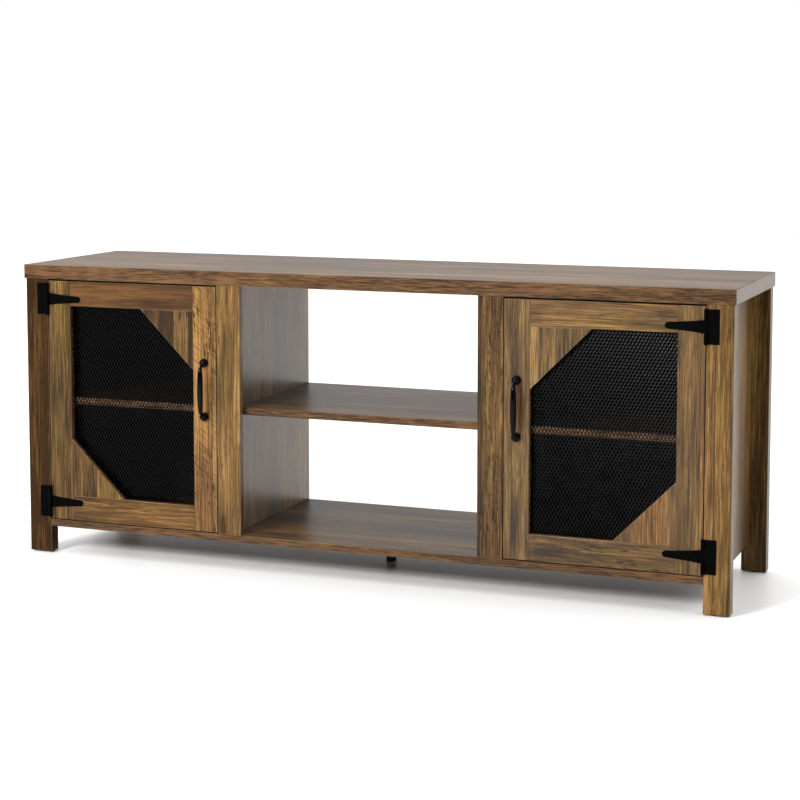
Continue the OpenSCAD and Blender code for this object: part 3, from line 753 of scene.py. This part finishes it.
def expanded_sheet(low, high):
    """Expanded metal between two corners: diamonds on end, four strands meeting at each bond.

    The metal is tilted at each bond, its right edge forward and its left edge back."""
    s = sizes()
    dx, dz = s.mesh_across / 2, s.mesh_along / 2
    half_w, half_h = s.mesh_bond_width / 2, s.mesh_bond_height / 2
    shoulder = BOND_SHOULDER * half_h
    columns = int((high.x - low.x) / dx) - 1
    rows = int((high.z - low.z) / dz) - 1
    x0 = (low.x + high.x) / 2 - columns / 2 * dx
    z0 = (low.z + high.z) / 2 - rows / 2 * dz
    # Six corners of a bond from the top round by the right: across, up, and 1 right, -1 left, 0 middle
    outline = [
        (0, half_h, 0),
        (half_w, shoulder, 1),
        (half_w, -shoulder, 1),
        (0, -half_h, 0),
        (-half_w, -shoulder, -1),
        (-half_w, shoulder, -1),
    ]
    bm = bmesh.new()
    bonds = {}
    for i in range(columns + 1):
        for j in range(rows + 1):
            if (i + j) % 2:
                continue
            corners = []
            for across, up, end in outline:
                x, z = x0 + i * dx + across, z0 + j * dz + up
                front = low.y + s.mesh_tilt * (1 - end)
                corners.append([bm.verts.new((x, y, z)) for y in (front, front + s.mesh_metal)])
            bonds[i, j] = corners
    sides = {}

    def plate(*corners):
        """One flat piece with its front and back; edges met once get a wall afterwards."""
        bm.faces.new([c[0] for c in corners])
        bm.faces.new([c[1] for c in reversed(corners)])
        for a, b in zip(corners, corners[1:] + corners[:1]):
            key = frozenset((a[0], b[0]))
            sides[key] = None if key in sides else (a, b)

    for (i, j), bond in bonds.items():
        top, right_up, right_down, bottom, _, _ = bond
        plate(*bond)
        above = bonds.get((i + 1, j + 1))
        if above:
            _, _, _, above_bottom, above_left_down, _ = above
            plate(top, above_left_down, above_bottom, right_up)
        below = bonds.get((i + 1, j - 1))
        if below:
            below_top, _, _, _, _, below_left_up = below
            plate(right_down, below_top, below_left_up, bottom)
    for pair in sides.values():
        if pair:
            a, b = pair
            bm.faces.new((a[0], a[1], b[1], b[0]))
    close_normals(bm)
    return bm


def make_mesh(side):
    node = f"{side}_door_mesh"
    bm = expanded_sheet(*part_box(node))
    piece = new_piece(f"{side}_door_expanded_metal", bm, node, ["mesh"])
    write_edge_crest(piece.data, [])


def swept(bm, path):
    """A round rod along a path of (place, radius) pairs in one YZ plane, closed at both ends."""
    sideways = Vector((1, 0, 0))
    rings = []
    for k, (place, radius) in enumerate(path):
        before = path[max(k - 1, 0)][0]
        after = path[min(k + 1, len(path) - 1)][0]
        across = (after - before).normalized().cross(sideways)
        ring = []
        for n in range(ROD_SIDES):
            a = 2 * math.pi * n / ROD_SIDES
            ring.append(bm.verts.new(place + radius * (math.cos(a) * sideways + math.sin(a) * across)))
        rings.append(ring)
    for lower, upper in zip(rings, rings[1:]):
        for n in range(ROD_SIDES):
            m = (n + 1) % ROD_SIDES
            bm.faces.new((lower[n], lower[m], upper[m], upper[n])).smooth = True
    bm.faces.new(reversed(rings[0]))
    bm.faces.new(rings[-1])


# Handle: its base ring, how far out its ball's middle is, and the grip's radii and bead
RING_T = 3.0 * MM
RING_ROUND = 0.9 * MM
BALL_OUT = 5.0 * MM
GRIP_MID_R = 6.0 * MM
GRIP_END_R = 4.1 * MM
BEAD_R = 4.7 * MM
BEAD_LENGTH = 5.0 * MM
BEAD_FROM_END = 1.5 * MM
NECK_R = 3.1 * MM
# How far the grip and then its neck end short of the middle of the foot
GRIP_SHORT = 15.5 * MM
NECK_SHORT = 4.5 * MM
GRIP_STEPS = 40
NECK_STEPS = 16
# Shapes of the grip's outline, of the neck's bend and of its taper
GRIP_FULLNESS = 0.55
NECK_BEND = 0.9
NECK_TAPER = 2.2


def foot_profile(foot_r):
    """A base ring with rounded edges, a groove, and a ball, as (radius, height) pairs."""
    ball_r = foot_r - 0.5 * MM
    round_at = foot_r - RING_ROUND
    profile = [(0.0, 0.0), (foot_r - 0.4 * MM, 0.0)]
    profile += arc(round_at, 1.0 * MM, RING_ROUND, -50, 0, 3)
    profile += arc(round_at, RING_T - RING_ROUND, RING_ROUND, 0, 80, 4)
    profile += [(ball_r - 1.1 * MM, RING_T + 0.25 * MM), (ball_r - 1.0 * MM, RING_T + 0.6 * MM)]
    profile += arc(0.0, BALL_OUT, ball_r, -4, 90, 16)
    profile[-1] = (0.0, BALL_OUT + ball_r)
    return profile


def half_grip(span, reach):
    """(height, distance out, radius) from the middle of the grip into the ball of one foot."""
    shoulder = span - GRIP_SHORT
    half = []
    for k in range(GRIP_STEPS + 1):
        z = shoulder * k / GRIP_STEPS
        t = z / shoulder
        out = reach - GRIP_MID_R - sizes().grip_bow * t * t
        radius = GRIP_END_R + (GRIP_MID_R - GRIP_END_R) * math.cos(math.pi / 2 * t) ** GRIP_FULLNESS
        bead = max(0.0, 1 - ((shoulder - z - BEAD_FROM_END) / (BEAD_LENGTH / 2)) ** 2)
        radius = max(radius, GRIP_END_R + (BEAD_R - GRIP_END_R) * math.sqrt(bead))
        half.append((z, out, radius))
    start_out = half[-1][1]
    for k in range(1, NECK_STEPS + 1):
        t = k / NECK_STEPS
        turn = math.pi / 2 * t
        z = shoulder + (span - NECK_SHORT - shoulder) * math.sin(turn) ** NECK_BEND
        out = start_out - (start_out - BALL_OUT - 1.0 * MM) * (1 - math.cos(turn))
        radius = NECK_R + (GRIP_END_R - NECK_R) * max(0.0, 1 - NECK_TAPER * t)
        half.append((z, out, radius))
    return half


def make_handle(side):
    """A bow pull: two ball feet on base rings and a full grip that curves back into them."""
    node = f"{side}_door_handle"
    low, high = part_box(node)
    foot_r = (high.x - low.x) / 2
    middle = Vector(((low.x + high.x) / 2, high.y, (low.z + high.z) / 2))
    span = (high.z - low.z) / 2 - foot_r
    bm = bmesh.new()
    for up in (-span, span):
        lathe(bm, foot_profile(foot_r), middle + Vector((0, 0, up)), Vector((0, -1, 0)))
    half = half_grip(span, high.y - low.y)
    path = [(middle + Vector((0, -out, -up)), radius) for up, out, radius in reversed(half[1:])]
    path += [(middle + Vector((0, -out, up)), radius) for up, out, radius in half]
    swept(bm, path)
    close_normals(bm)
    piece = new_piece(f"{side}_door_pull", bm, node, ["handle_black"])
    write_edge_crest(piece.data, [])


# ---- Operators ----


class BuildOperator:
    """What every building step shares. A step raises an error when the frame lacks one of its nodes."""

    bl_options = {"REGISTER", "UNDO"}


def front_or_back(normal):
    """The long edges of a board that lies flat."""
    return abs(normal.y) > FACING


def any_edge(normal):
    """All the edges of a board that stands in a door."""
    return abs(normal.y) < 0.5


class TVSTAND_OT_top(BuildOperator, Operator):
    """Thick top panel with its edge bands"""

    bl_idname = "tv_stand.top"
    bl_label = "Top panel"

    def execute(self, context):
        make_board("top_panel", "x", "oak_flat", front_or_back, ends="oak_end")
        return {"FINISHED"}


class TVSTAND_OT_posts(BuildOperator, Operator):
    """Four corner posts that stand as the legs"""

    bl_idname = "tv_stand.posts"
    bl_label = "Corner posts"

    def execute(self, context):
        for end in ENDS:
            for side in SIDES:
                # The front left post gets the less reflective oak and a darker tone: painted shade
                shaded = end == "front" and side == "left"
                make_board(f"{end}_{side}_post", "z", "oak_shaded" if shaded else "oak_laminate")
        return {"FINISHED"}


class TVSTAND_OT_panels(BuildOperator, Operator):
    """Side panels, bottom panel, dividers and the face stiles in front of the dividers"""

    bl_idname = "tv_stand.panels"
    bl_label = "Carcass panels"

    def execute(self, context):
        make_board("bottom_panel", "x", "oak_flat", front_or_back)
        for side in SIDES:
            make_board(f"{side}_side_panel", "z", "oak_panel")
            make_board(f"{side}_divider", "z", "oak_panel")
            make_board(f"{side}_divider_stile", "z")
        return {"FINISHED"}


class TVSTAND_OT_shelves(BuildOperator, Operator):
    """Bay shelf and the two loose cabinet shelves"""

    bl_idname = "tv_stand.shelves"
    bl_label = "Shelves"

    def execute(self, context):
        make_board("centre_shelf", "x", "oak_flat", front_or_back)
        for side in SIDES:
            # Cabinet shelves: faces darkened as painted shade, and a paler edge band as painted light
            make_board(f"{side}_cabinet_shelf", "x", "oak_flat", front_or_back, "oak_shelf_edge")
        return {"FINISHED"}


class TVSTAND_OT_backs(BuildOperator, Operator):
    """Thin back panels with their cable ports, and the nails"""

    bl_idname = "tv_stand.backs"
    bl_label = "Back panels"

    def execute(self, context):
        for side in SIDES:
            make_refined(f"{side}_back_panel", "hardboard", radius=0.3 * MM, shortest=SHORTEST_ROUNDED)
        make_refined("back_panel_nails", "zinc", radius=0.15 * MM, shortest=0.4 * MM)
        return {"FINISHED"}


class TVSTAND_OT_door_frames(BuildOperator, Operator):
    """Stiles, rails and corner gussets of both doors"""

    bl_idname = "tv_stand.door_frames"
    bl_label = "Door frames"

    def execute(self, context):
        for side, foil in (("left", "oak_laminate"), ("right", "oak_satin")):
            for part in ("hinge_stile", "latch_stile"):
                make_board(f"{side}_door_{part}", "z", foil, any_edge)
            for part in ("top_rail", "bottom_rail"):
                make_board(f"{side}_door_{part}", "x", foil, any_edge)
            for part in ("upper_gusset", "lower_gusset"):
                make_board(f"{side}_door_{part}", "z", foil, any_edge, plank_width=sizes().gusset_plank)
        return {"FINISHED"}


class TVSTAND_OT_mesh(BuildOperator, Operator):
    """Expanded metal in the doors and the strips that hold it"""

    bl_idname = "tv_stand.mesh"
    bl_label = "Door mesh"

    def execute(self, context):
        for side in SIDES:
            make_mesh(side)
            make_refined(f"{side}_door_mesh_strips", "batten", radius=0.4 * MM, shortest=5 * MM, axis="z")
        return {"FINISHED"}


class TVSTAND_OT_hinges(BuildOperator, Operator):
    """T-hinges: plates on the posts, straps on the doors, pins and screws"""

    bl_idname = "tv_stand.hinges"
    bl_label = "T-hinges"

    def execute(self, context):
        edge = sizes().metal_round
        for side in SIDES:
            make_refined(f"{side}_hinge_plates", "black_iron", radius=edge, shortest=1.5 * MM)
            make_refined(f"{side}_door_hinge_straps", "black_iron", radius=edge, shortest=1.5 * MM)
            make_refined(f"{side}_door_screws", "black_iron", radius=0.15 * MM, shortest=0.3 * MM)
        make_refined("carcass_screws", "black_iron", radius=0.15 * MM, shortest=0.3 * MM)
        make_refined("hinge_pins", "black_iron", radius=0.2 * MM, shortest=0.3 * MM)
        return {"FINISHED"}


class TVSTAND_OT_handles(BuildOperator, Operator):
    """Bow handles and the bolts that hold them"""

    bl_idname = "tv_stand.handles"
    bl_label = "Handles"

    def execute(self, context):
        for side in SIDES:
            make_handle(side)
            make_refined(f"{side}_door_handle_bolts", "zinc", radius=0.3 * MM, shortest=0.4 * MM)
        return {"FINISHED"}


class TVSTAND_OT_catches(BuildOperator, Operator):
    """Magnetic catches in the cabinets and the plates they hold"""

    bl_idname = "tv_stand.catches"
    bl_label = "Door catches"

    def execute(self, context):
        for side in SIDES:
            make_refined(f"{side}_catch", "black_plastic", radius=0.6 * MM, shortest=1.5 * MM)
            make_refined(f"{side}_door_strike_plate", "zinc", radius=0.2 * MM, shortest=1.5 * MM)
        return {"FINISHED"}


class TVSTAND_OT_joints(BuildOperator, Operator):
    """Cam bolts, cam locks, dowels, long screws and shelf pins"""

    bl_idname = "tv_stand.joints"
    bl_label = "Joint fittings"

    def execute(self, context):
        for node in ("cam_bolts", "cam_locks", "long_screws", "shelf_pins"):
            make_refined(node, "zinc", radius=0.25 * MM, shortest=0.5 * MM)
        make_refined("dowels", "beech", radius=0.5 * MM, shortest=0.3 * MM, axis="z")
        return {"FINISHED"}


class TVSTAND_OT_feet(BuildOperator, Operator):
    """Glides under the posts and the centre leg with its levelling foot"""

    bl_idname = "tv_stand.feet"
    bl_label = "Feet"

    def execute(self, context):
        for node in ("post_glides", "centre_leg", "levelling_foot"):
            make_refined(node, "black_plastic", radius=0.4 * MM, shortest=0.3 * MM)
        return {"FINISHED"}


class TVSTAND_OT_stage(BuildOperator, Operator):
    """Pale floor, soft studio light and the camera"""

    bl_idname = "tv_stand.stage"
    bl_label = "Studio"

    def execute(self, context):
        make_floor()
        make_world()
        make_lights()
        make_camera()
        return {"FINISHED"}


# ---- Studio ----


FLOOR_RADIUS = 9.0
# The floor lies this far below the feet, so that no two faces share a plane
FLOOR_DROP = 0.4 * MM
LENS_MM = 86.95
SENSOR_MM = 36.0
LENS_SHIFT = -0.15
CAMERA_PLACE = (1.4381, -3.6625, 0.9559)
CAMERA_DOWN = math.radians(5.37)
CAMERA_TURN = math.radians(21.124)
KEY_PLACE = (-1.5, -3.9, 2.3)
KEY_AIM = (0.0, 0.0, 0.30)
KEY_SIDE = 1.2
KEY_WATTS = 230


def make_floor():
    bm = bmesh.new()
    bmesh.ops.create_circle(bm, cap_ends=True, radius=FLOOR_RADIUS, segments=96)
    mesh = bpy.data.meshes.new("studio_floor")
    bm.to_mesh(mesh)
    bm.free()
    mesh.materials.append(floor_finish("studio_floor"))
    floor = bpy.data.objects.new("studio_floor", mesh)
    floor.location.z = -FLOOR_DROP
    bpy.context.scene.collection.objects.link(floor)


def make_world():
    """White to the camera. The stand itself sees a bright ceiling, a pale wall behind it and a dim room
    in front of it."""
    world = bpy.data.worlds.new("studio")
    bpy.context.scene.world = world
    world.use_nodes = True
    tree = world.node_tree
    back = tree.nodes["Background"]

    def ramp(value, low, high, to_low, to_high):
        node = tree.nodes.new("ShaderNodeMapRange")
        node.interpolation_type = "SMOOTHSTEP"
        limits = {"From Min": low, "From Max": high, "To Min": to_low, "To Max": to_high}
        for name, number in limits.items():
            node.inputs[name].default_value = number
        tree.links.new(value, node.inputs["Value"])
        return node.outputs[0]

    place = tree.nodes.new("ShaderNodeTexCoord")
    split = tree.nodes.new("ShaderNodeSeparateXYZ")
    path = tree.nodes.new("ShaderNodeLightPath")
    total = tree.nodes.new("ShaderNodeMath")
    choose = tree.nodes.new("ShaderNodeMix")
    tree.links.new(place.outputs["Generated"], split.inputs[0])
    # Dim in front, bright behind, and brighter still from a third of the way up
    walls = ramp(split.outputs["Y"], -0.55, 0.35, 0.10, 1.00)
    ceiling = ramp(split.outputs["Z"], 0.32, 0.80, 0.0, 1.30)
    tree.links.new(walls, total.inputs[0])
    tree.links.new(ceiling, total.inputs[1])
    tree.links.new(path.outputs["Is Camera Ray"], choose.inputs[0])
    tree.links.new(total.outputs[0], choose.inputs[2])
    choose.inputs[3].default_value = 1.0
    tree.links.new(choose.outputs[0], back.inputs["Strength"])
    back.inputs["Color"].default_value = (1.0, 1.0, 1.0, 1.0)


def make_lights():
    """One large soft box in front, to the left and above."""
    lamp = bpy.data.lights.new("key", "AREA")
    lamp.shape = "SQUARE"
    lamp.size = KEY_SIDE
    lamp.energy = KEY_WATTS
    box = bpy.data.objects.new("key", lamp)
    box.location = KEY_PLACE
    box.rotation_mode = "QUATERNION"
    box.rotation_quaternion = (Vector(KEY_AIM) - Vector(KEY_PLACE)).to_track_quat("-Z", "Y")
    bpy.context.scene.collection.objects.link(box)


def make_camera():
    """Stands off to the right and a little above, level enough that the posts stay upright."""
    lens = bpy.data.cameras.new("camera")
    lens.lens = LENS_MM
    lens.sensor_width = SENSOR_MM
    lens.shift_y = LENS_SHIFT
    camera = bpy.data.objects.new("camera", lens)
    camera.location = CAMERA_PLACE
    camera.rotation_euler = (math.radians(90) - CAMERA_DOWN, 0.0, CAMERA_TURN)
    bpy.context.scene.collection.objects.link(camera)
    bpy.context.scene.camera = camera
    bpy.context.scene.view_settings.view_transform = "Standard"


class TVSTAND_PT_sidebar(Panel):
    """Building steps and their settings"""

    bl_label = "TV stand"
    bl_idname = "TVSTAND_PT_sidebar"
    bl_space_type = "VIEW_3D"
    bl_region_type = "UI"
    bl_category = "TV stand"

    def draw(self, context):
        column = self.layout.column(align=True)
        for step in STEPS:
            column.operator(step.bl_idname)
        for group in (context.scene.stand_sizes, context.scene.stand_colours):
            box = self.layout.box()
            for key in group.__annotations__:
                box.prop(group, key)


STEPS = (
    TVSTAND_OT_stage,
    TVSTAND_OT_top,
    TVSTAND_OT_posts,
    TVSTAND_OT_panels,
    TVSTAND_OT_shelves,
    TVSTAND_OT_backs,
    TVSTAND_OT_door_frames,
    TVSTAND_OT_mesh,
    TVSTAND_OT_hinges,
    TVSTAND_OT_handles,
    TVSTAND_OT_catches,
    TVSTAND_OT_joints,
    TVSTAND_OT_feet,
)
CLASSES = (StandSizes, StandColours, *STEPS, TVSTAND_PT_sidebar)


def register():
    for cls in CLASSES:
        bpy.utils.register_class(cls)
    bpy.types.Scene.stand_sizes = PointerProperty(type=StandSizes)
    bpy.types.Scene.stand_colours = PointerProperty(type=StandColours)


def unregister():
    del bpy.types.Scene.stand_colours
    del bpy.types.Scene.stand_sizes
    for cls in reversed(CLASSES):
        bpy.utils.unregister_class(cls)


def main():
    register()
    for step in STEPS:
        area, name = step.bl_idname.split(".")
        getattr(getattr(bpy.ops, area), name)()


if __name__ == "__main__":
    main()
